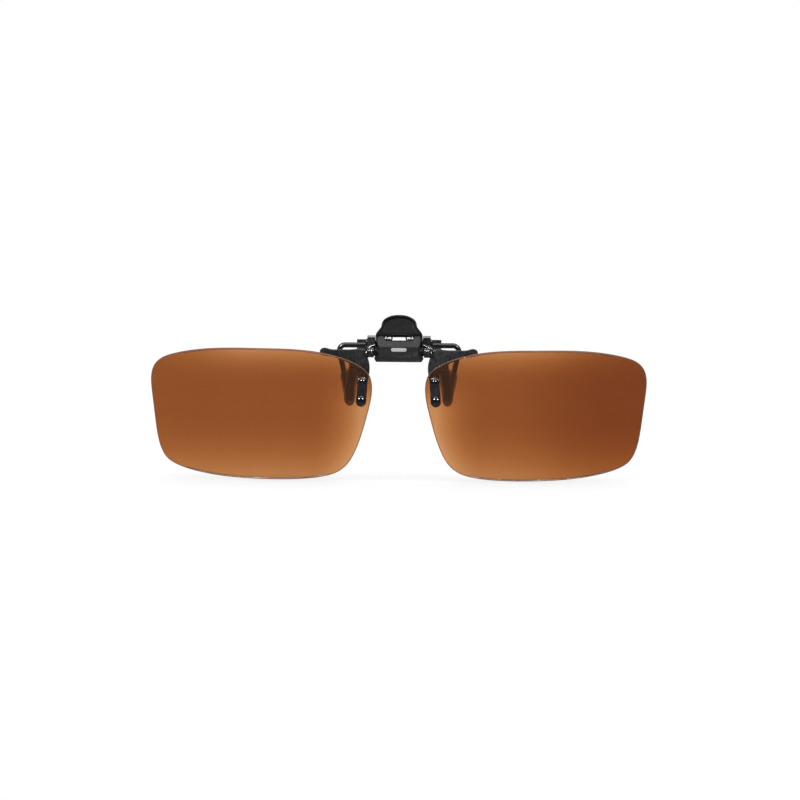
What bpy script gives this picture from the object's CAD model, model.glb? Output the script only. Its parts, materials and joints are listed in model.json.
import json
import math

import bpy
import bmesh
import numpy as np
from mathutils import Matrix, Vector
from mathutils.geometry import delaunay_2d_cdt


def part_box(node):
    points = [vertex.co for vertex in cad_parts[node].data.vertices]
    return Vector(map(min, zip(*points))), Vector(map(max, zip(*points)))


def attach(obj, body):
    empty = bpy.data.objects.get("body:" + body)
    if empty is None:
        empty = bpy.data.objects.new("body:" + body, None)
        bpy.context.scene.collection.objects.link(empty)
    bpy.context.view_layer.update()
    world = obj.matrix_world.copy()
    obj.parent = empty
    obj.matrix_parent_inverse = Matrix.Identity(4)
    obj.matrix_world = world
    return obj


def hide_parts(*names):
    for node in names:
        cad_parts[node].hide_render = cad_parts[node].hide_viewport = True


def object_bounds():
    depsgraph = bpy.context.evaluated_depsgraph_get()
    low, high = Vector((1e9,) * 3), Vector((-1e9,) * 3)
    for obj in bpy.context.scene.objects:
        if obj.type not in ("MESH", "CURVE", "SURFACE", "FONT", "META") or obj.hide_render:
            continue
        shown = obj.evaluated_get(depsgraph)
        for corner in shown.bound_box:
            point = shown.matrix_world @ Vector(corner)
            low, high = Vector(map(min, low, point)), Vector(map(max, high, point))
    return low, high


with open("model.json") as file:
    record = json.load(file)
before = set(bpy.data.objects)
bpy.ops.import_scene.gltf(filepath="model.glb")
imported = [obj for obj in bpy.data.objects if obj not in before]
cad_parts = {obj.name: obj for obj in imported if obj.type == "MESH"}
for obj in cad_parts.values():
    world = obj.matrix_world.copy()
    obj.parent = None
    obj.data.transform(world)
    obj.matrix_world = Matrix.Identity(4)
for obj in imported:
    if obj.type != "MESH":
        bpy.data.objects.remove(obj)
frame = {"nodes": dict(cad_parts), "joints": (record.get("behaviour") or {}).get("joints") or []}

CAD_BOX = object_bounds()
MM = 0.001
JOINTS = {j["name"]: j for j in frame["joints"]}
H = Vector(JOINTS["lens_flip"]["pos_m"])          # the flip axis
P = (Vector(JOINTS["lever_squeeze"]["pos_m"]) - H) / MM   # the lever pivot, mm from the flip axis
FRAME_BODY, LEVER, FLIP = "clamp_frame", "lever", "flip_lenses"
NODES = frame["nodes"]
SCENE = bpy.context.scene
COLL = SCENE.collection


def rel_box(node):
    """A CAD node's box, in mm from the flip axis."""
    lo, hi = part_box(node)
    return (lo - H) / MM, (hi - H) / MM


# =============================================================================
# mesh helpers: everything is drawn in millimetres from the flip axis
# =============================================================================
def new_object(name, verts, faces, body, mats, replaces=(), smooth=True, face_mats=None):
    me = bpy.data.meshes.new(name)
    co = np.array(verts, float).reshape(-1, 3) * MM + np.array(H)
    me.from_pydata([tuple(v) for v in co], [], [tuple(int(i) for i in f) for f in faces])
    for m in mats:
        me.materials.append(m)
    if face_mats is not None:
        me.polygons.foreach_set("material_index", np.array(face_mats, np.int32))
    me.update()
    bm = bmesh.new()
    bm.from_mesh(me)
    bmesh.ops.recalc_face_normals(bm, faces=bm.faces)
    bm.to_mesh(me)
    bm.free()
    me.polygons.foreach_set("use_smooth", [smooth] * len(me.polygons))
    o = bpy.data.objects.new(name, me)
    COLL.objects.link(o)
    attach(o, body)
    if replaces:
        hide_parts(*replaces)
    return o


class Soup:
    """Collects several closed shells into one mesh."""

    def __init__(self):
        self.v, self.f, self.m = [], [], []

    def add(self, verts, faces, mat=0):
        k = len(self.v)
        self.v += [tuple(v) for v in verts]
        self.f += [tuple(i + k for i in f) for f in faces]
        self.m += list(mat) if isinstance(mat, (list, tuple)) else [mat] * len(faces)
        return self

    def mirror(self):
        """Adds the mirror twin about the middle plane."""
        k = len(self.v)
        self.v += [(-x, y, z) for x, y, z in self.v]
        self.f += [tuple(i + k for i in reversed(f)) for f in self.f]
        self.m += list(self.m)
        return self

    def flipped(self):
        s = Soup()
        s.v = [(-x, y, z) for x, y, z in self.v]
        s.f = [tuple(reversed(f)) for f in self.f]
        s.m = list(self.m)
        return s


def periodic_spline(pts, n):
    """A closed C2 cubic through the points, by chord length, sampled n times."""
    p = np.array(pts, float)
    m = len(p)
    d = np.linalg.norm(np.roll(p, -1, 0) - p, axis=1)
    a = np.zeros((m, m))
    r = np.zeros((m, p.shape[1]))
    for i in range(m):
        h0, h1 = d[i - 1], d[i]
        a[i, (i - 1) % m] += h0
        a[i, i] += 2 * (h0 + h1)
        a[i, (i + 1) % m] += h1
        r[i] = 6 * ((p[(i + 1) % m] - p[i]) / h1 - (p[i] - p[i - 1]) / h0)
    s = np.linalg.solve(a, r)
    t = np.concatenate([[0], np.cumsum(d)])
    out = []
    for u in np.linspace(0, t[-1], n, endpoint=False):
        i = min(int(np.searchsorted(t, u, "right")) - 1, m - 1)
        j, hh = (i + 1) % m, d[i]
        x0, x1 = (t[i + 1] - u) / hh, (u - t[i]) / hh
        out.append(x0 * p[i] + x1 * p[j] + ((x0 ** 3 - x0) * s[i] + (x1 ** 3 - x1) * s[j]) * hh * hh / 6)
    return np.array(out)


def open_curve(pts, step):
    """Catmull-Rom through the points, sampled about every step mm."""
    p = np.array(pts, float)
    e = np.vstack([2 * p[0] - p[1], p, 2 * p[-1] - p[-2]])
    out = []
    for i in range(1, len(e) - 2):
        a, b, c, d = e[i - 1], e[i], e[i + 1], e[i + 2]
        n = max(2, int(math.ceil(np.linalg.norm(c - b) / step)))
        for k in range(n):
            t = k / n
            out.append(0.5 * ((2 * b) + (c - a) * t + (2 * a - 5 * b + 4 * c - d) * t ** 2
                              + (3 * b - a - 3 * c + d) * t ** 3))
    out.append(p[-1])
    return np.array(out)


def rounded(points, r, step=0.12):
    """A closed polygon with each corner rounded to radius r (or r[i]), sampled about every step."""
    p = np.array(points, float)
    m = len(p)
    out = []
    for i in range(m):
        a, b, c = p[i - 1], p[i], p[(i + 1) % m]
        rr = r[i] if isinstance(r, (list, tuple)) else r
        u, w = a - b, c - b
        lu, lw = np.linalg.norm(u), np.linalg.norm(w)
        u, w = u / lu, w / lw
        cosang = float(np.clip(u @ w, -1, 1))
        half = math.acos(cosang) / 2
        if rr <= 1e-6 or math.pi - 2 * half < 0.02:
            out.append(b)
            continue
        cut = min(rr / math.tan(half), 0.49 * lu, 0.49 * lw)
        rad = cut * math.tan(half)
        s, e = b + u * cut, b + w * cut
        bis = (u + w) / np.linalg.norm(u + w)
        cen = b + bis * (rad / math.sin(half))
        a0 = math.atan2(*(s - cen)[::-1])
        a1 = math.atan2(*(e - cen)[::-1])
        d = (a1 - a0 + math.pi) % (2 * math.pi) - math.pi
        n = max(3, int(abs(d) * rad / step) + 2)
        for k in range(n):
            t = a0 + d * k / (n - 1)
            out.append(cen + rad * np.array([math.cos(t), math.sin(t)]))
    return resample(np.array(out), step)


def resample(p, step):
    out = []
    m = len(p)
    for i in range(m):
        a, b = p[i], p[(i + 1) % m]
        n = max(1, int(math.ceil(np.linalg.norm(b - a) / (step * 2.2))))
        for k in range(n):
            out.append(a + (b - a) * k / n)
    q = [out[0]]
    for v in out[1:]:
        if np.linalg.norm(v - q[-1]) > 1e-4:
            q.append(v)
    if np.linalg.norm(q[0] - q[-1]) < 1e-4:
        q.pop()
    return np.array(q)


def ccw(p):
    x, y = p[:, 0], p[:, 1]
    area = 0.5 * np.sum(x * np.roll(y, -1) - np.roll(x, -1) * y)
    return p if area > 0 else p[::-1]


def inward(p, d):
    """The closed loop moved in by d along its own normals."""
    t = np.roll(p, -1, 0) - np.roll(p, 1, 0)
    t /= np.maximum(np.linalg.norm(t, axis=1, keepdims=True), 1e-9)
    return p + np.stack([-t[:, 1], t[:, 0]], 1) * d


def sheet(outline, front, back, edge, seg=4, grid=0.6, to3=None, edge_mat=0, face_mat=0):
    """A plate of any outline with rounded edges. front and back give the third coordinate at (a, b)."""
    to3 = to3 or (lambda a, b, c: (a, c, b))
    p = ccw(np.array(outline, float))
    n = len(p)
    verts, faces, mats, loops = [], [], [], []
    # rings: from the front face's inner edge, round the rim, to the back face's inner edge
    prof = [(edge * (1 - math.sin(t)), edge * (1 - math.cos(t))) for t in np.linspace(0, math.pi / 2, seg + 1)]
    rings = [(i, e, 0) for i, e in prof] + [(i, e, 1) for i, e in reversed(prof)]
    for ins, dep, side in rings:
        q = inward(p, ins)
        loops.append(list(range(len(verts), len(verts) + n)))
        for a, b in q:
            f, g = front(a, b), back(a, b)
            c = f + dep if side == 0 else g - dep
            verts.append(to3(a, b, c))
    for l0, l1 in zip(loops, loops[1:]):
        for i in range(n):
            j = (i + 1) % n
            faces.append((l0[i], l0[j], l1[j], l1[i]))
            mats.append(edge_mat)
    inner = inward(p, edge)
    # interior points
    lo, hi = inner.min(0), inner.max(0)
    pts = [Vector(v) for v in inner]
    core = inward(p, edge + grid * 0.45)
    for a in np.arange(lo[0] + grid / 2, hi[0], grid):
        for b in np.arange(lo[1] + grid / 2, hi[1], grid):
            if inside(core, a, b):
                pts.append(Vector((a, b)))
    edges = [(i, (i + 1) % n) for i in range(n)]
    v2, _, f2, ov, _, _ = delaunay_2d_cdt(pts, edges, [], 1, 1e-7)
    for loop, fn, flip in ((loops[0], front, False), (loops[-1], back, True)):
        ids = []
        for v, orig in zip(v2, ov):
            src = [k for k in orig if k < n]
            if src:
                ids.append(loop[src[0]])
            else:
                ids.append(len(verts))
                verts.append(to3(v[0], v[1], fn(v[0], v[1])))
        for f in f2:
            t = [ids[k] for k in f]
            if len(set(t)) < 3:
                continue
            faces.append(tuple(reversed(t)) if flip else tuple(t))
            mats.append(face_mat)
    return verts, faces, mats


def inside(poly, a, b):
    x, y = poly[:, 0], poly[:, 1]
    x2, y2 = np.roll(x, -1), np.roll(y, -1)
    c = ((y > b) != (y2 > b)) & (a < (x2 - x) * (b - y) / np.where(y2 == y, 1e-12, y2 - y) + x)
    return bool(np.count_nonzero(c) % 2)


def revolve(profile, frame_of, n=40):
    """A closed profile of (radius, height), turned about an axis. frame_of gives origin, x, y and axis vectors."""
    o, ax, ay, az = [np.array(v, float) for v in frame_of]
    verts, faces, rings = [], [], []
    for r, h in profile:
        if r < 1e-6:
            rings.append([len(verts)])
            verts.append(tuple(o + az * h))
            continue
        ring = []
        for k in range(n):
            t = 2 * math.pi * k / n
            ring.append(len(verts))
            verts.append(tuple(o + ax * (r * math.cos(t)) + ay * (r * math.sin(t)) + az * h))
        rings.append(ring)
    for a, b in zip(rings, rings[1:]):
        for k in range(n):
            j = (k + 1) % n
            if len(a) == 1 and len(b) == 1:
                continue
            if len(a) == 1:
                faces.append((a[0], b[j], b[k]))
            elif len(b) == 1:
                faces.append((a[k], a[j], b[0]))
            else:
                faces.append((a[k], a[j], b[j], b[k]))
    return verts, faces


def tube(path, r, n=20, cap=4):
    """A round wire along a path, with rounded ends. r may be a function of the distance share along it."""
    p = np.array(path, float)
    t = np.gradient(p, axis=0)
    t /= np.linalg.norm(t, axis=1, keepdims=True)
    ref = np.array([0, 1.0, 0]) if abs(t[0][1]) < 0.9 else np.array([1.0, 0, 0])
    u = ref - t[0] * (ref @ t[0])
    u /= np.linalg.norm(u)
    verts, rings = [], []

    def ring(c, tt, uu, rr):
        w = np.cross(tt, uu)
        ids = []
        for k in range(n):
            a = 2 * math.pi * k / n
            ids.append(len(verts))
            verts.append(tuple(c + uu * (rr * math.cos(a)) + w * (rr * math.sin(a))))
        rings.append(ids)

    rad = r if callable(r) else (lambda s: r)
    for k in range(cap, 0, -1):
        a = math.pi / 2 * k / (cap + 0.4)
        ring(p[0] - t[0] * rad(0) * math.sin(a) * 0.6, t[0], u, rad(0) * math.cos(a))
    for i in range(len(p)):
        u = u - t[i] * (u @ t[i])
        u /= np.linalg.norm(u)
        ring(p[i], t[i], u, rad(i / (len(p) - 1)))
    for k in range(1, cap + 1):
        a = math.pi / 2 * k / (cap + 0.4)
        ring(p[-1] + t[-1] * rad(1) * math.sin(a) * 0.6, t[-1], u, rad(1) * math.cos(a))
    faces = [tuple(reversed(rings[0]))]
    for a, b in zip(rings, rings[1:]):
        for k in range(n):
            j = (k + 1) % n
            faces.append((a[k], a[j], b[j], b[k]))
    faces.append(tuple(rings[-1]))
    return verts, faces


def refine(node, name, body, mats, width=0.1, seg=3, angle=28, dissolve=1.0):
    """A CAD node's shape with its edges broken, as a piece of its own."""
    src = NODES[node].data
    bm = bmesh.new()
    bm.from_mesh(src)
    bmesh.ops.remove_doubles(bm, verts=bm.verts, dist=1.5e-6)
    bmesh.ops.dissolve_degenerate(bm, edges=bm.edges, dist=2e-6)
    if dissolve:
        bmesh.ops.dissolve_limit(bm, angle_limit=math.radians(dissolve), verts=bm.verts, edges=bm.edges,
                                 delimit=set())
    me = bpy.data.meshes.new(name)
    bm.to_mesh(me)
    bm.free()
    me.materials.clear()
    for m in mats:
        me.materials.append(m)
    me.polygons.foreach_set("material_index", [0] * len(me.polygons))
    me.polygons.foreach_set("use_smooth", [True] * len(me.polygons))
    o = bpy.data.objects.new(name, me)
    COLL.objects.link(o)
    b = o.modifiers.new("edges", "BEVEL")
    b.width, b.segments, b.limit_method, b.angle_limit = width * MM, seg, "ANGLE", math.radians(angle)
    b.use_clamp_overlap, b.harden_normals, b.miter_outer = True, False, "MITER_ARC"
    w = o.modifiers.new("normals", "WEIGHTED_NORMAL")
    w.keep_sharp, w.weight = True, 80
    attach(o, body)
    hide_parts(node)
    return o


# =============================================================================
# materials
# =============================================================================
class Nodes:
    def __init__(self, name):
        self.mat = bpy.data.materials.new(name)
        self.mat.use_nodes = True
        self.t = self.mat.node_tree
        self.t.nodes.clear()
        self.out = self.n("ShaderNodeOutputMaterial")
        self.geo = self.n("ShaderNodeTexCoord")

    def n(self, kind, **kw):
        x = self.t.nodes.new(kind)
        for k, v in kw.items():
            if k.startswith("i_"):
                x.inputs[k[2:].replace("__", " ")].default_value = v
            else:
                setattr(x, k, v)
        return x

    def link(self, a, b):
        self.t.links.new(a, b)

    def noise(self, scale, detail=4.0, rough=0.55, distort=0.0, stretch=None):
        """Noise over object space; scale is features per millimetre."""
        src = self.geo.outputs["Object"]
        mp = self.n("ShaderNodeMapping")
        s = 1000.0
        mp.inputs["Scale"].default_value = tuple(s * k for k in (stretch or (1, 1, 1)))
        self.link(src, mp.inputs["Vector"])
        x = self.n("ShaderNodeTexNoise")
        x.inputs["Scale"].default_value = scale
        x.inputs["Detail"].default_value = detail
        x.inputs["Roughness"].default_value = rough
        x.inputs["Distortion"].default_value = distort
        self.link(mp.outputs["Vector"], x.inputs["Vector"])
        return x.outputs["Fac"]

    def ramp(self, src, lo, hi, a, b, smooth=False):
        m = self.n("ShaderNodeMapRange")
        m.interpolation_type = "SMOOTHSTEP" if smooth else "LINEAR"
        m.inputs["From Min"].default_value, m.inputs["From Max"].default_value = lo, hi
        m.inputs["To Min"].default_value, m.inputs["To Max"].default_value = a, b
        self.link(src, m.inputs["Value"])
        return m.outputs["Result"]

    def math(self, op, a, b=None, clamp=False):
        m = self.n("ShaderNodeMath", operation=op, use_clamp=clamp)
        for i, v in enumerate((a, b)):
            if v is None:
                continue
            if isinstance(v, (int, float)):
                m.inputs[i].default_value = v
            else:
                self.link(v, m.inputs[i])
        return m.outputs[0]

    def mix(self, fac, a, b):
        m = self.n("ShaderNodeMix", data_type="RGBA")
        for sock, v in ((m.inputs[0], fac), (m.inputs[6], a), (m.inputs[7], b)):
            if isinstance(v, (int, float)):
                sock.default_value = v
            elif isinstance(v, tuple):
                sock.default_value = (*v, 1.0)
            else:
                self.link(v, sock)
        return m.outputs[2]

    def bump(self, height, strength, dist_mm, normal=None):
        b = self.n("ShaderNodeBump")
        b.inputs["Strength"].default_value = strength
        b.inputs["Distance"].default_value = dist_mm * MM
        self.link(height, b.inputs["Height"])
        if normal is not None:
            self.link(normal, b.inputs["Normal"])
        return b.outputs["Normal"]

    def done(self, bsdf):
        self.link(bsdf.outputs[0], self.out.inputs["Surface"])
        return self.mat


def hard_material(name, base, dark, light, rough, metal=0.0, coat=0.0, coat_rough=0.1, grain=6.0, grain_amt=0.006,
                  rough_var=0.08, wear=0.0, wear_col=(0.2, 0.2, 0.2), stretch=None, spec=0.5, orange=0.0, worn_above=None):
    """Painted, moulded or machined finish: tone drift, fine grain, uneven gloss and paler worn edges."""
    m = Nodes(name)
    drift = m.noise(0.35, 3.0, 0.6, 0.3)
    fine = m.noise(grain, 5.0, 0.6, 0.0, stretch)
    tone = m.mix(m.ramp(drift, 0.3, 0.7, 0, 1, True), dark, base)
    tone = m.mix(m.ramp(fine, 0.56, 0.75, 0, 0.55), tone, light)
    if wear:
        g = m.n("ShaderNodeNewGeometry")
        worn = m.math("MULTIPLY", m.ramp(g.outputs["Pointiness"], 0.53, 0.62, 0, 1, True), m.ramp(m.noise(1.7, 4), 0.42, 0.62, 0, wear, True))
        tone = m.mix(worn, tone, wear_col)
    if worn_above:
        # lacquer rubbed off the tops of the blocks, above this height over the flip axis
        sep = m.n("ShaderNodeSeparateXYZ")
        m.link(m.geo.outputs["Object"], sep.inputs[0])
        up = m.ramp(m.math("DIVIDE", m.math("SUBTRACT", sep.outputs["Z"], H.z), MM), worn_above, worn_above + 0.12, 0, 1, True)
        tone = m.mix(m.math("MULTIPLY", up, m.ramp(fine, 0.25, 0.6, 0.6, 1.0)), tone, (0.27, 0.235, 0.235))
    b = m.n("ShaderNodeBsdfPrincipled")
    m.link(tone, b.inputs["Base Color"])
    rr = m.math("ADD", m.ramp(m.noise(0.9, 4, 0.65, 0.4), 0.25, 0.75, rough - rough_var, rough + rough_var),
                m.ramp(fine, 0.3, 0.7, -0.02, 0.03), True)
    m.link(rr, b.inputs["Roughness"])
    b.inputs["Metallic"].default_value = metal
    b.inputs["Specular IOR Level"].default_value = spec
    b.inputs["Coat Weight"].default_value = coat
    b.inputs["Coat Roughness"].default_value = coat_rough
    nrm = m.bump(fine, 0.5, grain_amt)
    if orange:
        nrm = m.bump(m.noise(1.6, 2.0, 0.4), 0.6, orange, nrm)
    m.link(nrm, b.inputs["Normal"])
    return m.done(b)


M_LEVER = hard_material("moulded_black_lever", (0.0050, 0.0054, 0.0054), (0.0032, 0.0035, 0.0036), (0.009, 0.0095, 0.0098), 0.40,
                        coat=0.0, grain=7.0, grain_amt=0.004, orange=0.004, spec=0.13)
M_HOUSING = hard_material("moulded_black_housing", (0.017, 0.017, 0.019), (0.011, 0.011, 0.0125), (0.028, 0.028, 0.030), 0.38,
                          coat=0.1, coat_rough=0.28, grain=6.0, grain_amt=0.008, wear=0.35, wear_col=(0.11, 0.11, 0.112), spec=0.38)
M_BLACK = hard_material("black_lacquer_steel", (0.019, 0.0188, 0.021), (0.011, 0.011, 0.012), (0.032, 0.031, 0.031), 0.25,
                        metal=0.15, coat=0.6, coat_rough=0.12, grain=4.0, grain_amt=0.0025, orange=0.004, wear=0.5,
                        wear_col=(0.16, 0.145, 0.14), spec=0.6)
M_JAW = hard_material("black_lacquer_steel_jaw", (0.019, 0.0188, 0.021), (0.011, 0.011, 0.012), (0.032, 0.031, 0.031), 0.25,
                      metal=0.15, coat=0.6, coat_rough=0.12, grain=4.0, grain_amt=0.0025, orange=0.004, wear=0.5,
                      wear_col=(0.16, 0.145, 0.14), spec=0.6, worn_above=3.74)
M_WIRE = hard_material("black_lacquer_wire", (0.024, 0.021, 0.023), (0.014, 0.012, 0.013), (0.040, 0.035, 0.038), 0.27,
                       metal=0.3, coat=0.5, coat_rough=0.13, grain=5.0, grain_amt=0.004, wear=0.2, wear_col=(0.12, 0.11, 0.11))
M_RIVET = hard_material("black_rivet", (0.011, 0.012, 0.013), (0.007, 0.008, 0.009), (0.02, 0.022, 0.024), 0.12, metal=0.25,
                        coat=1.0, coat_rough=0.05, grain=5.0, grain_amt=0.0004, rough_var=0.02, spec=0.4)
M_STEEL = hard_material("machined_steel", (0.42, 0.42, 0.43), (0.30, 0.30, 0.31), (0.55, 0.55, 0.55), 0.28, metal=0.9, grain=5.0,
                        grain_amt=0.004, stretch=(0.25, 2.5, 2.5))
M_SPRING = hard_material("black_oxide_spring", (0.008, 0.008, 0.0085), (0.005, 0.005, 0.005), (0.016, 0.0155, 0.015), 0.42, metal=0.1,
                         grain=6.0, grain_amt=0.003, spec=0.25)
M_PIN = hard_material("blackened_pin", (0.045, 0.044, 0.045), (0.026, 0.026, 0.027), (0.08, 0.078, 0.076), 0.28, metal=0.6, grain=5.0,
                      grain_amt=0.003, stretch=(0.25, 2.5, 2.5))
M_SILVER = hard_material("satin_silver", (0.58, 0.53, 0.51), (0.46, 0.42, 0.41), (0.72, 0.67, 0.65), 0.38, metal=0.25, grain=8.0,
                         grain_amt=0.003, stretch=(0.3, 3, 3))
M_NYLON = hard_material("natural_nylon", (0.62, 0.58, 0.50), (0.52, 0.48, 0.41), (0.7, 0.66, 0.6), 0.45, grain=5.0, grain_amt=0.004)


def silicone():
    m = Nodes("smoky_silicone")
    fine = m.noise(5.0, 5.0, 0.6)
    tone = m.mix(m.ramp(m.noise(0.8, 3), 0.3, 0.7, 0, 1, True), (0.42, 0.39, 0.39), (0.58, 0.54, 0.54))
    rough = m.ramp(fine, 0.3, 0.7, 0.30, 0.46)
    nrm = m.bump(fine, 0.5, 0.01)
    b = m.n("ShaderNodeBsdfPrincipled")
    m.link(tone, b.inputs["Base Color"])
    m.link(rough, b.inputs["Roughness"])
    b.inputs["Specular IOR Level"].default_value = 0.5
    m.link(nrm, b.inputs["Normal"])
    glow = m.n("ShaderNodeBsdfTranslucent")
    m.link(tone, glow.inputs["Color"])
    body = m.n("ShaderNodeMixShader")
    body.inputs[0].default_value = 0.35
    m.link(b.outputs[0], body.inputs[1])
    m.link(glow.outputs[0], body.inputs[2])
    # a clear fraction, so the metal core shows as a darker strip inside the sleeve
    tr = m.n("ShaderNodeBsdfRefraction")
    tr.inputs["Color"].default_value = (0.80, 0.74, 0.72, 1)
    tr.inputs["Roughness"].default_value = 0.22
    tr.inputs["IOR"].default_value = 1.12
    mx = m.n("ShaderNodeMixShader")
    # clearer face on, milkier towards the silhouette
    lw = m.n("ShaderNodeLayerWeight")
    lw.inputs["Blend"].default_value = 0.35
    m.link(m.ramp(lw.outputs["Facing"], 0.0, 1.0, 0.60, 0.15), mx.inputs[0])
    m.link(body.outputs[0], mx.inputs[1])
    m.link(tr.outputs[0], mx.inputs[2])
    return m.done(mx)


M_PAD = silicone()

# what white light becomes across the whole lens, where the dye is deepest and where it is palest
DEEP, PALE = (0.196, 0.0392, 0.0046), (0.605, 0.273, 0.1060)


def lens_material(name, edge=False):
    m = Nodes(name)
    sep = m.n("ShaderNodeSeparateXYZ")
    m.link(m.geo.outputs["Object"], sep.inputs[0])
    sx = m.math("DIVIDE", sep.outputs["X"], MM)
    ax = m.math("ABSOLUTE", sx)
    zz = m.math("DIVIDE", m.math("SUBTRACT", sep.outputs["Z"], H.z), MM)
    # dye depth: even in the middle, fading to the top, the bottom and the nose; one side a little deeper
    pale = m.ramp(sx, 26.0, 56.0, 0.315, 0.0, True)
    top = m.math("MULTIPLY", m.math("POWER", m.ramp(zz, -8.5, 0.5, 0.0, 1.0), 1.8), m.ramp(ax, 64.0, 42.0, 0.16, 0.62))
    low = m.math("MULTIPLY", m.math("POWER", m.ramp(zz, -17.0, -32.5, 0.0, 1.0), 1.7), 0.53)
    near = m.math("MULTIPLY", m.math("POWER", m.ramp(ax, 23.0, 10.0, 0.0, 1.0), 1.8), m.ramp(zz, -5.0, -16.0, 0.12, 0.66, True))
    for part in (top, low, near):
        pale = m.math("ADD", pale, part)
    # a faint cloudiness of the dye
    pale = m.math("ADD", pale, m.ramp(m.noise(0.06, 3.0, 0.5, 0.4), 0.3, 0.7, -0.02, 0.02))
    pale = m.math("MINIMUM", pale, 1.05)
    comb = m.n("ShaderNodeCombineColor")
    for k, (lo_c, hi_c) in enumerate(zip(DEEP, PALE)):
        # each of the two surfaces holds half of the tint
        share = m.math("MULTIPLY", m.math("POWER", hi_c / lo_c, m.math("MULTIPLY", pale, 0.5)), math.sqrt(lo_c))
        if edge:
            share = m.math("MULTIPLY", share, (0.50, 0.38, 0.34)[k])     # light crosses more of the lens there
        m.link(share, comb.inputs[k])
    scuff = m.noise(2.2, 6.0, 0.65, 0.2)
    haze = m.n("ShaderNodeBsdfRefraction")
    haze.distribution = "GGX"
    haze.inputs["IOR"].default_value = 1.5
    m.link(comb.outputs[0], haze.inputs["Color"])
    m.link(m.ramp(scuff, 0.3, 0.7, 0.055, 0.075), haze.inputs["Roughness"])
    gloss = m.n("ShaderNodeBsdfGlossy")
    gloss.inputs["Color"].default_value = (1, 1, 1, 1)
    m.link(m.ramp(scuff, 0.3, 0.75, 0.03, 0.07), gloss.inputs["Roughness"])
    nrm = m.bump(m.noise(0.12, 2.0, 0.4), 0.25, 0.01)
    m.link(nrm, gloss.inputs["Normal"])
    fres = m.n("ShaderNodeFresnel")
    fres.inputs["IOR"].default_value = 1.12 if edge else 1.5
    mx = m.n("ShaderNodeMixShader")
    m.link(fres.outputs[0], mx.inputs[0])
    m.link(haze.outputs[0], mx.inputs[1])
    m.link(gloss.outputs[0], mx.inputs[2])
    # the coating scatters a little light of its own; the ground and polished rim scatters more
    d = m.n("ShaderNodeBsdfPrincipled")
    d.inputs["Base Color"].default_value = (0.45, 0.26, 0.19, 1) if edge else (0.50, 0.33, 0.23, 1)
    m.link(m.ramp(scuff, 0.3, 0.7, 0.16, 0.30), d.inputs["Roughness"])
    m.link(m.bump(scuff, 0.4, 0.01), d.inputs["Normal"])
    d.inputs["Specular IOR Level"].default_value = 0.08 if edge else 0.0
    e = m.n("ShaderNodeMixShader")
    if edge:
        e.inputs[0].default_value = 0.26
    else:
        m.link(m.ramp(scuff, 0.3, 0.75, 0.036, 0.048), e.inputs[0])
    m.link(mx.outputs[0], e.inputs[1])
    m.link(d.outputs[0], e.inputs[2])
    top_shader = e
    # shadow rays pass through as tinted light, so that the lens throws a brown shadow
    path = m.n("ShaderNodeLightPath")
    clear = m.n("ShaderNodeBsdfTransparent")
    m.link(comb.outputs[0], clear.inputs["Color"])
    out = m.n("ShaderNodeMixShader")
    m.link(path.outputs["Is Shadow Ray"], out.inputs[0])
    m.link(top_shader.outputs[0], out.inputs[1])
    m.link(clear.outputs[0], out.inputs[2])
    return m.done(out)


M_LENS = lens_material("brown_tinted_lens")
M_RIM = lens_material("polished_lens_rim", True)

# =============================================================================
# lenses
# =============================================================================
LENS_R, LENS_T = 120.0, 1.2
SPHERE = np.array([25.0, -3.67 + LENS_R, -16.25])
RIM = [
    (8.14, -16.43), (7.10, -11.50), (7.16, -7.90), (8.11, -5.55), (10.15, -3.74),
    (13.84, -1.99), (18.57, -0.60), (23.79, 0.25), (29.60, 0.65), (36.31, 0.75),
    (43.27, 0.78), (49.43, 0.57), (55.11, -0.05), (60.30, -1.16), (63.40, -2.48),
    (64.98, -4.15), (65.76, -6.65), (65.63, -10.47), (64.81, -16.80), (64.02, -22.30),
    (62.86, -26.42), (61.28, -28.86), (58.62, -30.52), (53.90, -31.98), (48.53, -32.96),
    (42.88, -33.53), (36.81, -33.80), (30.40, -33.84), (24.59, -33.60), (19.54, -32.95),
    (16.00, -31.80), (13.54, -29.90), (11.50, -26.68), (9.76, -22.20),
]


def sphere_y(x, z, r):
    """Where the sphere of radius r about the lens's centre of curvature is, at (x, z)."""
    return SPHERE[1] - math.sqrt(r * r - (x - SPHERE[0]) ** 2 - (z - SPHERE[2]) ** 2)


def lens_front(x, z):
    return sphere_y(x, z, LENS_R)


def lens_back(x, z):
    return sphere_y(x, z, LENS_R - LENS_T)


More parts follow.
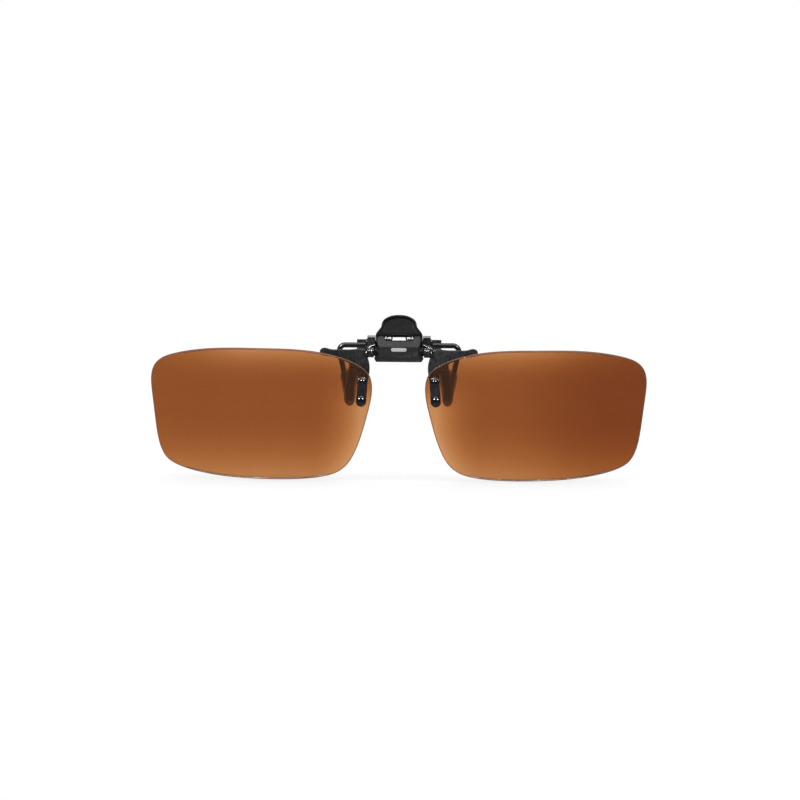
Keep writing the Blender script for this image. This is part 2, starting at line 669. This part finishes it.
def lens_mesh():
    n = 420
    p = ccw(periodic_spline(RIM, n))
    c = np.array([36.5, -16.5])
    verts, faces, mats = [], [], []
    e, seg = 0.30, 5
    shares = [0.0] + list(np.linspace(0.08, 0.94, 17)) + [0.97, 0.985]
    loops = []

    def loop(q, fn):
        ids = list(range(len(verts), len(verts) + n))
        for a, b in q:
            verts.append((a, fn(a, b), b))
        loops.append(ids)

    rim_from = None
    for s in shares:
        if s == 0:
            loops.append([0])
            verts.append((c[0], lens_front(*c), c[1]))
        else:
            loop(c + (p - c) * s, lens_front)
    prof = [(e * (1 - math.sin(t)), e * (1 - math.cos(t))) for t in np.linspace(0, math.pi / 2, seg + 1)]
    rim_from = len(loops) - 1
    for ins, dep in prof:
        loop(inward(p, ins), lambda a, b, d=dep: lens_front(a, b) + d)
    for ins, dep in reversed(prof):
        loop(inward(p, ins), lambda a, b, d=dep: lens_back(a, b) - d)
    rim_to = len(loops) - 1
    for s in reversed(shares):
        if s == 0:
            loops.append([len(verts)])
            verts.append((c[0], lens_back(*c), c[1]))
        else:
            loop(c + (p - c) * s, lens_back)
    for k, (a, b) in enumerate(zip(loops, loops[1:])):
        rim = rim_from < k < rim_to
        for i in range(n):
            j = (i + 1) % n
            if len(a) == 1:
                faces.append((a[0], b[j], b[i]))
            elif len(b) == 1:
                faces.append((a[i], a[j], b[0]))
            else:
                faces.append((a[i], a[j], b[j], b[i]))
            mats.append(1 if rim else 0)
    s = Soup()
    s.add(verts, faces, mats)
    return s


lens = lens_mesh()
for side, soup in (("left", lens), ("right", lens.flipped())):
    new_object(f"lens_{side}_moulded", soup.v, soup.f, FLIP, [M_LENS, M_RIM], [f"lens_{side}"], face_mats=soup.m)

# =============================================================================
# rivet plates, rivets, brackets
# =============================================================================
RIVETS = [(9.50, -7.80, 1.00), (9.85, -12.75, 1.20)]
PLATE_ENDS = [((9.50, -7.75), 1.30), ((9.85, -13.00), 1.36)]


def rivet_frame(x, z):
    o = np.array([x, lens_front(x, z), z])
    az = o - SPHERE
    az /= np.linalg.norm(az)
    ax = np.cross(np.array([0, 0, 1.0]), az)
    ax /= np.linalg.norm(ax)
    return o, ax, np.cross(az, ax), az


def capsule(c0, r0, c1, r1, n=26):
    (x0, z0), (x1, z1) = c0, c1
    a = math.atan2(z1 - z0, x1 - x0)
    d = math.hypot(x1 - x0, z1 - z0)
    k = math.acos((r0 - r1) / d)
    pts = []
    for t in np.linspace(-k, k, n):
        pts.append((x1 + r1 * math.cos(a + t), z1 + r1 * math.sin(a + t)))
    for t in np.linspace(k, 2 * math.pi - k, n):
        pts.append((x0 + r0 * math.cos(a + t), z0 + r0 * math.sin(a + t)))
    return resample(np.array(pts), 0.1)


(end0, end_r0), (end1, end_r1) = PLATE_ENDS
v, f, m = sheet(capsule(end0, end_r0, end1, end_r1), lambda a, b: sphere_y(a, b, LENS_R + 0.71),
                lambda a, b: sphere_y(a, b, LENS_R + 0.01), 0.24, 5, 0.35)
plate = Soup().add(v, f, m)
rivet = Soup()
for x, z, hr in RIVETS:
    fr = rivet_frame(x, z)
    top, h = 0.72, 0.62
    prof = []
    # a domed head on a short straight side
    dome, edge = 0.40, hr - 0.03
    cap_r = (edge * edge + dome * dome) / (2 * dome)
    for t in np.linspace(0, math.asin(edge / cap_r), 12):
        prof.append((cap_r * math.sin(t), top + h - cap_r + cap_r * math.cos(t)))
    prof += [(hr, top + h - dome - 0.04), (hr, top + 0.03), (hr - 0.03, top)]
    prof += [(0.5, top - 0.01), (0.5, -2.03), (0.86, -2.05), (0.9, -2.09), (0.9, -2.30), (0.78, -2.42), (0.0, -2.44)]
    v, f = revolve(prof, fr, 48)
    rivet.add(v, f)
for side in ("left", "right"):
    s, r = (plate, rivet) if side == "left" else (plate.flipped(), rivet.flipped())
    new_object(f"rivet_plate_{side}_pressed", s.v, s.f, FLIP, [M_BLACK], [f"rivet_plate_{side}"])
    new_object(f"lens_rivets_{side}_domed", r.v, r.f, FLIP, [M_RIVET], [f"lens_rivets_{side}"])

BR = LENS_R - LENS_T - 0.01
ARM = [(8.75, 0.30), (9.3, 0.62), (12.5, 0.60), (15.5, 0.60), (17.8, 0.62), (18.6, 0.80), (19.4, 1.0), (20.15, 0.92),
       (20.75, 0.5), (20.85, 0.0), (20.65, -0.5), (20.05, -0.88), (18.6, -1.12), (16.4, -1.70), (14.0, -2.62), (12.5, -3.5),
       (11.55, -4.4), (10.95, -5.6), (10.72, -6.9), (10.68, -9.5), (10.9, -12.3), (10.95, -13.2), (10.5, -13.9), (9.9, -14.1),
       (9.25, -14.0), (8.72, -13.3), (8.6, -12.5), (8.36, -9.8), (8.26, -8.0), (7.92, -6.4), (7.70, -4.9), (7.76, -3.3),
       (8.08, -1.9), (8.38, -0.8)]
arm = periodic_spline(ARM, 300)


def pressed(a, b):
    """The folded leg stands a little in front of the arm, along a crease."""
    t = max(-30, min(30, (a - (8.62 - 0.42 * b)) / 0.07))
    return 0.09 / (1 + math.exp(-t)) * max(0.0, min(1.0, (b + 4.6) / 1.6))


v, f, m = sheet(arm, lambda a, b: sphere_y(a, b, BR) + pressed(a, b), lambda a, b: sphere_y(a, b, BR - 0.8), 0.16, 4, 0.26)
bracket = Soup().add(v, f, m)
# strap over the barrel: a swept band whose outer face catches the light
outer = open_curve([(6.12, 2.06), (6.6, 2.03), (7.05, 1.94), (7.55, 1.74), (8.05, 1.40), (8.45, 0.94), (8.72, 0.40),
                    (8.86, -0.15), (8.98, -0.7), (9.1, -1.3)], 0.1)
nrm = np.gradient(outer, axis=0)
nrm /= np.linalg.norm(nrm, axis=1, keepdims=True)
nrm = np.stack([nrm[:, 1], -nrm[:, 0]], 1)
thick = np.linspace(0.46, 0.62, len(outer))[:, None]
inner = outer + nrm * thick
band = resample(np.vstack([outer, inner[::-1]]), 0.06)


def strap_front(a, b):
    t = max(0.0, min(1.0, (-0.2 - b) / 1.6))
    return -1.30 + 0.28 * max(0.0, b + 0.4) + 0.20 * (a - 8.5) + 0.50 * t * t * (3 - 2 * t)


def strap_back(a, b):
    return 0.60 - 1.05 * max(0.0, min(1.0, (0.3 - b) / 1.6))


v, f, m = sheet(band, strap_front, strap_back, 0.21, 6, 0.2)
bracket.add(v, f, m)
# barrel
prof = [(0.0, 6.60), (1.30, 6.60), (1.42, 6.63), (1.49, 6.70), (1.50, 6.80), (1.50, 7.36), (1.44, 7.42), (1.44, 7.56), (1.50, 7.62),
        (1.50, 8.10), (1.47, 8.22), (0.86, 8.86), (0.74, 8.96), (0.55, 9.0), (0.0, 9.0)]
v, f = revolve(prof, ((0, 0, 0), (0, 1, 0), (0, 0, 1), (1, 0, 0)), 56)
bracket.add(v, f)
for side in ("left", "right"):
    s = bracket if side == "left" else bracket.flipped()
    new_object(f"lens_bracket_{side}_pressed", s.v, s.f, FLIP, [M_BLACK], [f"lens_bracket_{side}"])

# =============================================================================
# thumb lever
# =============================================================================
BELL = [(0, 9.60), (0.9, 9.57), (1.7, 9.46), (2.38, 9.28), (3.07, 9.0), (3.62, 8.70), (3.97, 8.44), (4.24, 8.14), (4.42, 7.85),
        (4.56, 7.5), (4.66, 7.1), (4.72, 6.68), (4.84, 6.38), (5.02, 6.13), (5.22, 5.88), (5.45, 5.6), (5.66, 5.34), (5.84, 5.07),
        (6.0, 4.82), (6.12, 4.6)]


def bell_outline():
    half = open_curve(BELL, 0.09)
    corner = [(6.20, 4.35), (6.22, 4.15), (6.17, 4.0), (6.03, 3.95)]
    low = [(5.0, 3.95), (4.2, 3.95), (3.6, 3.9), (3.1, 3.82), (2.75, 3.76), (2.4, 3.75), (1.5, 3.75), (0.0, 3.75)]
    right = np.vstack([half, corner, low])
    left = right[::-1].copy()
    left[:, 0] *= -1
    return resample(np.vstack([right, left[1:-1]]), 0.09)


_zs = np.linspace(3.5, 10.0, 120)
_front = np.interp(_zs, [3.5, 5.0, 7.0, 8.9, 9.9], [2.37, 2.47, 2.78, 3.32, 3.78])
_back = np.interp(_zs, [3.5, 5.0, 6.6, 8.4, 9.9], [3.58, 3.68, 3.88, 4.33, 4.95])
_k = np.exp(-0.5 * (np.arange(-14, 15) / 6.0) ** 2)
_k /= _k.sum()
_front = np.convolve(np.pad(_front, 14, "edge"), _k, "valid")
_back = np.convolve(np.pad(_back, 14, "edge"), _k, "valid")
bell = ccw(bell_outline())
_bt = np.roll(bell, -1, 0) - bell


def rim_distance(a, b):
    """How far (a, b) is from the bell's own outline."""
    ap = np.array([a, b]) - bell
    t = np.clip((ap * _bt).sum(1) / np.maximum((_bt * _bt).sum(1), 1e-12), 0, 1)
    return float(np.sqrt(((ap - _bt * t[:, None]) ** 2).sum(1).min()))


def sstep(x, a, b):
    t = max(0.0, min(1.0, (x - a) / (b - a)))
    return t * t * (3 - 2 * t)


def bell_front(a, b):
    y = float(np.interp(b, _zs, _front))
    d = rim_distance(a, b) if b > 4.3 else min(rim_distance(a, b), 9)
    hollow = 0.34 * sstep(d, 0.36, 0.85) * sstep(b, 4.3, 7.2)       # the scoop inside the rim
    bow = 0.15 * (1 - (min(abs(a), 5.2) / 5.2) ** 2) * sstep(b, 4.2, 7.5)   # dished across
    return y + hollow + bow


def bell_back(a, b):
    y = float(np.interp(b, _zs, _back))
    return y - 0.12 * (abs(a) / 5.5) ** 2 * sstep(b, 4.4, 6.0)


v, f, m = sheet(bell, bell_front, bell_back, 0.26, 5, 0.17)
lev = Soup().add(v, f, m)
# short tabs under the blade, beside the spring
for x0, x1 in ((2.95, 3.38), (3.62, 4.05)):
    for sx in (1, -1):
        q = [(sx * x0, 3.50), (sx * x1, 3.50), (sx * x1, 4.25), (sx * x0, 4.25)]
        v, f, m = sheet(rounded(q, 0.07, 0.05), lambda a, b: 2.42, lambda a, b: 3.5, 0.06, 3, 0.15)
        lev.add(v, f, m)
# finger ribs on the back of the blade
for k in range(4):
    zc = 5.9 + 0.72 * k
    half_w = 3.0 - 0.28 * k
    yb = bell_back(0, zc)
    path = [(x, bell_back(x, zc) - 0.03, zc) for x in np.linspace(-half_w, half_w, 15)]
    v, f = tube(path, 0.15, 10, 3)
    lev.add(v, f)


def arm_outline():
    """The lever arm's side view: boss round the pin, and the tail that carries the jaw."""
    py, pz = P.y, P.z
    pts = []
    for t in np.linspace(math.radians(168), math.radians(285), 14):
        pts.append((py + 1.25 * math.cos(t), pz + 1.25 * math.sin(t)))
    pts += [(py + 1.4, pz - 1.30), (py + 2.2, pz - 1.66), (py + 2.75, pz - 1.94), (py + 3.2, pz - 2.0), (py + 4.45, pz - 2.0),
            (py + 4.58, pz - 1.87), (py + 4.58, pz + 0.72), (py + 4.45, pz + 0.85), (py + 2.95, pz + 0.85), (py + 2.6, pz + 0.78),
            (py + 1.5, pz + 0.95), (py + 0.75, pz + 1.25), (py + 0.42, pz + 1.65), (py + 0.33, pz + 2.1), (py - 0.78, pz + 2.1), (py - 0.86, pz + 1.5),
            (py - 0.98, pz + 0.9)]
    return resample(np.array(pts), 0.1)


v, f, m = sheet(arm_outline(), lambda a, b: 4.66, lambda a, b: 6.21, 0.14, 3, 0.5, to3=lambda a, b, c: (c, a, b))
s = Soup().add(v, f, m)
# the boss stands a little proud round the pin
prof = [(0.62, 4.52), (1.0, 4.52), (1.08, 4.56), (1.12, 4.64), (1.12, 4.8), (0.62, 4.8), (0.62, 4.52)]
v, f = revolve(prof, ((0, P.y, P.z), (0, 1, 0), (0, 0, 1), (1, 0, 0)), 40)
s.add(v, f)
s.mirror()
lev.add(s.v, s.f, s.m)
new_object("thumb_lever_moulded", lev.v, lev.f, LEVER, [M_LEVER], ["thumb_lever"])

# =============================================================================
# clamp wire, spring
# =============================================================================
WIRE_Y, WIRE_Z, WIRE_R = 7.2, 1.38, 0.70
TIP, KNEE = np.array([13.05, -13.2]), np.array([16.25, WIRE_Z])
leg = (TIP - KNEE) / np.linalg.norm(TIP - KNEE)
turn = math.acos(float(np.array([-1, 0]) @ leg))     # angle between the run and the leg
bend = 1.5
cut = bend / math.tan(turn / 2)
s0, s1 = KNEE + np.array([-1, 0]) * cut, KNEE + leg * cut
bis = (np.array([-1, 0]) + leg)
bis /= np.linalg.norm(bis)
cen = KNEE + bis * (bend / math.sin(turn / 2))
a0, a1 = math.atan2(*(s0 - cen)[::-1]), math.atan2(*(s1 - cen)[::-1])
half_path = [(x, WIRE_Y, WIRE_Z) for x in np.linspace(0, s0[0], 14)[:-1]]
for t in np.linspace(a0, a1, 18):
    half_path.append((cen[0] + bend * math.cos(t), WIRE_Y, cen[1] + bend * math.sin(t)))
end = s1 + (TIP - s1) * 0.985
for k in np.linspace(0, 1, 14)[1:]:
    q = s1 + (end - s1) * k
    half_path.append((q[0], WIRE_Y, q[1]))
half_path = np.array(half_path)
other = half_path[::-1].copy()
other[:, 0] *= -1
wire = np.vstack([other[:-1], half_path])
v, f = tube(wire, WIRE_R, 28, 4)
new_object("rear_jaw_wire_bent", v, f, LEVER, [M_WIRE], ["rear_jaw_wire"])

SW, CR, C0, C1, TURNS = 0.19, 0.92, 2.1, 4.3, 4.75
coil = []
for t in np.linspace(0, 1, int(40 * TURNS)):
    a = 2 * math.pi * TURNS * t
    coil.append((C0 + (C1 - C0) * t, P.y - CR * math.cos(a), P.z - CR * math.sin(a)))
# the outer ends run forwards and rest behind the housing's shoulders
ends = open_curve([(C1, P.y - 0.12, P.z + CR + 0.01), (C1 + 0.01, 2.4, P.z + CR + 0.05), (C1 + 0.02, 1.62, 3.29), (C1 + 0.08, 1.36, 3.30),
                   (C1 + 0.28, 1.27, 3.31), (C1 + 0.6, 1.27, 3.32), (5.3, 1.27, 3.34)], 0.12)
fixed = Soup().add(*tube(np.vstack([coil, ends]), SW, 14, 2))
fixed.mirror()
new_object("torsion_spring_coils", fixed.v, fixed.f, FRAME_BODY, [M_SPRING], ["torsion_spring"])
# the middle loop rises in front of the lever's blade
loop_half = open_curve([(0, 2.20, 4.45), (0.8, 2.20, 4.45), (1.45, 2.20, 4.45), (1.68, 2.20, 4.38), (1.80, 2.21, 4.18), (1.84, 2.23, 3.9), (1.88, 2.33, 3.55),
                        (1.97, 2.37, 3.1), (C0 - 0.01, 2.39, 2.45), (C0, P.y - CR, P.z + 0.05)], 0.12)
other = loop_half[::-1].copy()
other[:, 0] *= -1
v, f = tube(np.vstack([other[:-1], loop_half]), SW, 14, 2)
new_object("torsion_spring_loop", v, f, LEVER, [M_SPRING], ["torsion_spring"])

# =============================================================================
# machined and moulded pieces that keep their CAD shape, with broken edges
# =============================================================================
refine("front_housing", "front_housing_moulded", FRAME_BODY, [M_HOUSING], 0.20, 4, 14)
refine("housing_cover", "housing_cover_moulded", FRAME_BODY, [M_HOUSING], 0.12, 3)
refine("front_jaw", "front_jaw_stamped", FRAME_BODY, [M_JAW], 0.12, 3)
refine("rear_jaw_plate", "rear_jaw_plate_stamped", LEVER, [M_BLACK], 0.12, 3)
refine("name_bar", "name_bar_inlay", FRAME_BODY, [M_SILVER], 0.04, 2)
for side in ("left", "right"):
    refine(f"front_pad_{side}", f"front_pad_{side}_sleeve", FRAME_BODY, [M_PAD], 0.06, 2)
    refine(f"rear_pad_{side}", f"rear_pad_{side}_sleeve", LEVER, [M_PAD], 0.06, 2)
refine("housing_screws", "housing_screws_slotted", FRAME_BODY, [M_STEEL], 0.06, 2)
refine("jaw_rivets", "jaw_rivets_set", LEVER, [M_STEEL], 0.08, 3)
refine("pin_caps", "pin_caps_pressed", FRAME_BODY, [M_BLACK], 0.05, 2)
refine("lever_pin", "lever_pin_ground", FRAME_BODY, [M_PIN], 0.08, 2)
refine("flip_axle", "flip_axle_ground", FLIP, [M_PIN], 0.06, 2)
refine("detent_leaf", "detent_leaf_spring", FRAME_BODY, [M_STEEL], 0.04, 2)
for side in ("left", "right"):
    refine(f"lens_bushings_{side}", f"lens_bushings_{side}_moulded", FLIP, [M_NYLON], 0.04, 2)

# =============================================================================
# stage: floor, light, camera
# =============================================================================
lo, hi = CAD_BOX
floor_z = lo.z - 0.0002


def floor_material():
    m = Nodes("pale_floor")
    sep = m.n("ShaderNodeSeparateXYZ")
    m.link(m.geo.outputs["Object"], sep.inputs[0])
    r = m.math("SQRT", m.math("ADD", m.math("MULTIPLY", sep.outputs["X"], sep.outputs["X"]),
                              m.math("MULTIPLY", sep.outputs["Y"], sep.outputs["Y"])))
    tone = m.mix(m.ramp(m.noise(0.02, 4.0), 0.35, 0.65, 0, 1, True), (0.90, 0.90, 0.90), (0.93, 0.93, 0.93))
    b = m.n("ShaderNodeBsdfPrincipled")
    m.link(tone, b.inputs["Base Color"])
    b.inputs["Roughness"].default_value = 0.75
    b.inputs["Specular IOR Level"].default_value = 0.15
    # much of the floor's light is its own, so that the shadow under the lenses stays faint
    lit = m.n("ShaderNodeEmission")
    lit.inputs["Color"].default_value = (1, 1, 1, 1)
    lit.inputs["Strength"].default_value = 1.0
    ground = m.n("ShaderNodeMixShader")
    ground.inputs[0].default_value = 0.68
    m.link(b.outputs[0], ground.inputs[1])
    m.link(lit.outputs[0], ground.inputs[2])
    clear = m.n("ShaderNodeBsdfTransparent")
    mx = m.n("ShaderNodeMixShader")
    m.link(m.ramp(r, 0.16, 0.55, 0.0, 1.0, True), mx.inputs[0])
    m.link(ground.outputs[0], mx.inputs[1])
    m.link(clear.outputs[0], mx.inputs[2])
    return m.done(mx)


me = bpy.data.meshes.new("floor")
rings, cols = 24, 96
fv, ff = [(0, 0, floor_z)], []
for i in range(1, rings + 1):
    for k in range(cols):
        t = 2 * math.pi * k / cols
        rr = 0.9 * (i / rings) ** 1.6
        fv.append((rr * math.cos(t), rr * math.sin(t), floor_z))
for k in range(cols):
    ff.append((0, 1 + k, 1 + (k + 1) % cols))
for i in range(rings - 1):
    for k in range(cols):
        a = 1 + i * cols
        ff.append((a + k, a + cols + k, a + cols + (k + 1) % cols, a + (k + 1) % cols))
me.from_pydata(fv, [], ff)
me.materials.append(floor_material())
floor = bpy.data.objects.new("floor", me)
COLL.objects.link(floor)
floor.visible_glossy = False

world = bpy.data.worlds.new("studio")
SCENE.world = world
world.use_nodes = True
wt = world.node_tree
wt.nodes.clear()
wo = wt.nodes.new("ShaderNodeOutputWorld")
lp = wt.nodes.new("ShaderNodeLightPath")
tc = wt.nodes.new("ShaderNodeTexCoord")
sp = wt.nodes.new("ShaderNodeSeparateXYZ")
wt.links.new(tc.outputs["Generated"], sp.inputs[0])


def wmath(op, a, b, clamp=False):
    x = wt.nodes.new("ShaderNodeMath")
    x.operation, x.use_clamp = op, clamp
    for i, v in enumerate((a, b)):
        if isinstance(v, (int, float)):
            x.inputs[i].default_value = v
        else:
            wt.links.new(v, x.inputs[i])
    return x.outputs[0]


def wramp(src, a, b, c, d, smooth=True):
    x = wt.nodes.new("ShaderNodeMapRange")
    x.interpolation_type = "SMOOTHSTEP" if smooth else "LINEAR"
    for k, v in zip(("From Min", "From Max", "To Min", "To Max"), (a, b, c, d)):
        x.inputs[k].default_value = v
    wt.links.new(src, x.inputs["Value"])
    return x.outputs["Result"]


# reflections see a dim room that is bright overhead; the camera and the light through the lenses see white
# and a pale table below
room = wmath("ADD", wramp(sp.outputs["Z"], 0.45, 0.98, 0.045, 0.9), wramp(sp.outputs["Z"], -0.25, -0.75, 0.0, 0.20))
mirror = wmath("MULTIPLY", lp.outputs["Is Glossy Ray"], wmath("SUBTRACT", 1.0, lp.outputs["Is Transmission Ray"]))
fill = wmath("ADD", 1.0, wmath("MULTIPLY", lp.outputs["Is Diffuse Ray"], 0.14))
g = wmath("ADD", wmath("MULTIPLY", mirror, room), wmath("MULTIPLY", wmath("SUBTRACT", 1.0, mirror), fill))
bg = wt.nodes.new("ShaderNodeBackground")
wt.links.new(g, bg.inputs["Strength"])
bg.inputs["Color"].default_value = (1, 1, 1, 1)
wt.links.new(bg.outputs[0], wo.inputs["Surface"])


def area(name, loc, aim, size, power, size_y=None, diffuse=True, glossy=True):
    d = bpy.data.lights.new(name, "AREA")
    d.shape = "RECTANGLE" if size_y else "DISK"
    d.size = size
    if size_y:
        d.size_y = size_y
    d.energy = power
    o = bpy.data.objects.new(name, d)
    COLL.objects.link(o)
    o.location = Vector(loc)
    o.rotation_euler = (Vector(aim) - Vector(loc)).to_track_quat("-Z", "Y").to_euler()
    o.visible_camera = False
    o.visible_transmission = False
    o.visible_diffuse, o.visible_glossy = diffuse, glossy
    return o


mid = Vector((0, H.y, H.z))
area("softbox_left", (-0.36, -0.60, 0.42), mid, 0.18, 6.5, diffuse=False)
area("softbox_right", (0.36, -0.60, 0.42), mid, 0.15, 3.6, diffuse=False)
area("softbox_top", (0.0, -0.10, 0.70), mid, 0.50, 1.0, 0.25)
area("strip_top", (0.0, -0.16, 0.66), mid, 0.60, 0.5, 0.12, diffuse=False)
area("softbox_back", (0.30, 0.60, 0.40), mid, 0.40, 1.2, 0.40, diffuse=False)

# the camera: a long lens in front, slightly above and slightly to the wearer's left
AZ, EL, ROLL, DIST, WIDE = math.radians(0.4), math.radians(4.0), math.radians(0.50), 0.85, 0.2115
target = H + Vector((0.40, 0.0, -12.7)) * MM
back = Vector((math.sin(AZ) * math.cos(EL), -math.cos(AZ) * math.cos(EL), math.sin(EL)))
cd = bpy.data.cameras.new("camera")
cam = bpy.data.objects.new("camera", cd)
COLL.objects.link(cam)
cam.location = target + back * DIST
q = (-back).to_track_quat("-Z", "Y")
cam.rotation_mode = "QUATERNION"
cam.rotation_quaternion = q @ Matrix.Rotation(ROLL, 3, "Z").to_quaternion()
cd.sensor_width = 36.0
cd.lens = 36.0 * DIST / WIDE
cd.clip_start, cd.clip_end = 0.01, 10
SCENE.camera = cam

SCENE.view_settings.view_transform = "Standard"
SCENE.view_settings.look = "None"
SCENE.cycles.use_denoising = True
SCENE.cycles.max_bounces = 16
SCENE.cycles.transmission_bounces = 12
SCENE.cycles.transparent_max_bounces = 16
SCENE.cycles.caustics_refractive = False
SCENE.cycles.caustics_reflective = False
SCENE.cycles.sample_clamp_indirect = 4.0
